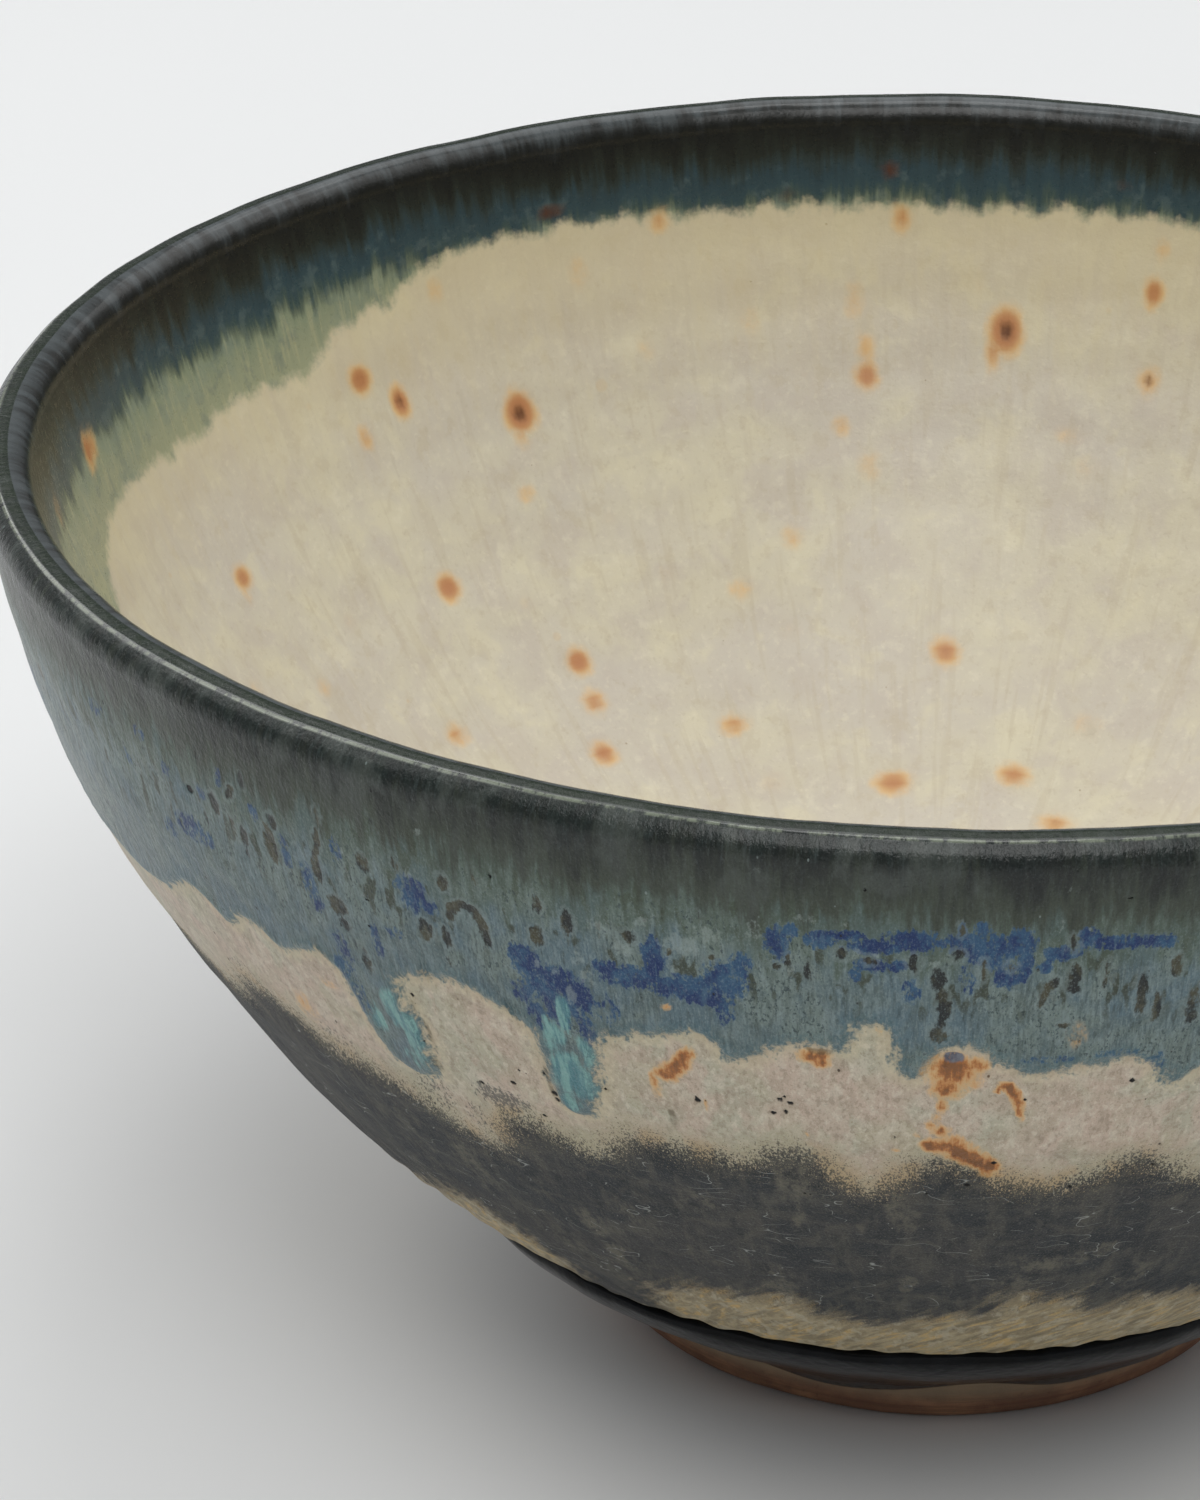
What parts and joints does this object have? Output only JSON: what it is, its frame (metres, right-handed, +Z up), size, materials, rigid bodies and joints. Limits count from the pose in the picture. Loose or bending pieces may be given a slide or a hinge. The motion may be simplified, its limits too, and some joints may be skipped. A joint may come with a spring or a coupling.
{
  "type": "matcha bowl",
  "caption": "Wide round tea bowl on a small foot ring, thin rounded lip, pale glaze inside and out under a dark rim dip that runs down both sides, with a brushed dark band low on the belly.",
  "frame": {"origin": "centre of the foot ring, on the surface the bowl stands on", "axes": "+Z up along the bowl's axis, from foot to rim; +X and +Y across the rim, with -Y the side that shows the two glaze runs"},
  "size_m": [0.125, 0.125, 0.0636],
  "materials": {
    "clay": "fired unglazed stoneware, matt and gritty, red-brown",
    "foot_clay": "bare fired clay, toasted red-brown, trimmed and slightly gritty",
    "liner_glaze": "satin warm cream glaze with soft mottling and rust spots",
    "outer_glaze": "semi-matt pinkish cream glaze, pinholes and iron spots, yellower at the hem",
    "iron_band": "dry matt charcoal grey wash, brushed and speckled",
    "black_glaze": "glossy pooled black glaze",
    "rim_glaze": "glossy charcoal at the lip breaking to blue-grey with cobalt and brown streaks"
  },
  "bodies": {
    "root": {"clay_body": "clay", "foot_ring": "foot_clay", "liner_glaze": "liner_glaze", "outer_glaze": "outer_glaze", "iron_band": "iron_band", "foot_glaze_roll": "black_glaze", "rim_glaze": "rim_glaze"}
  },
  "joints": []
}
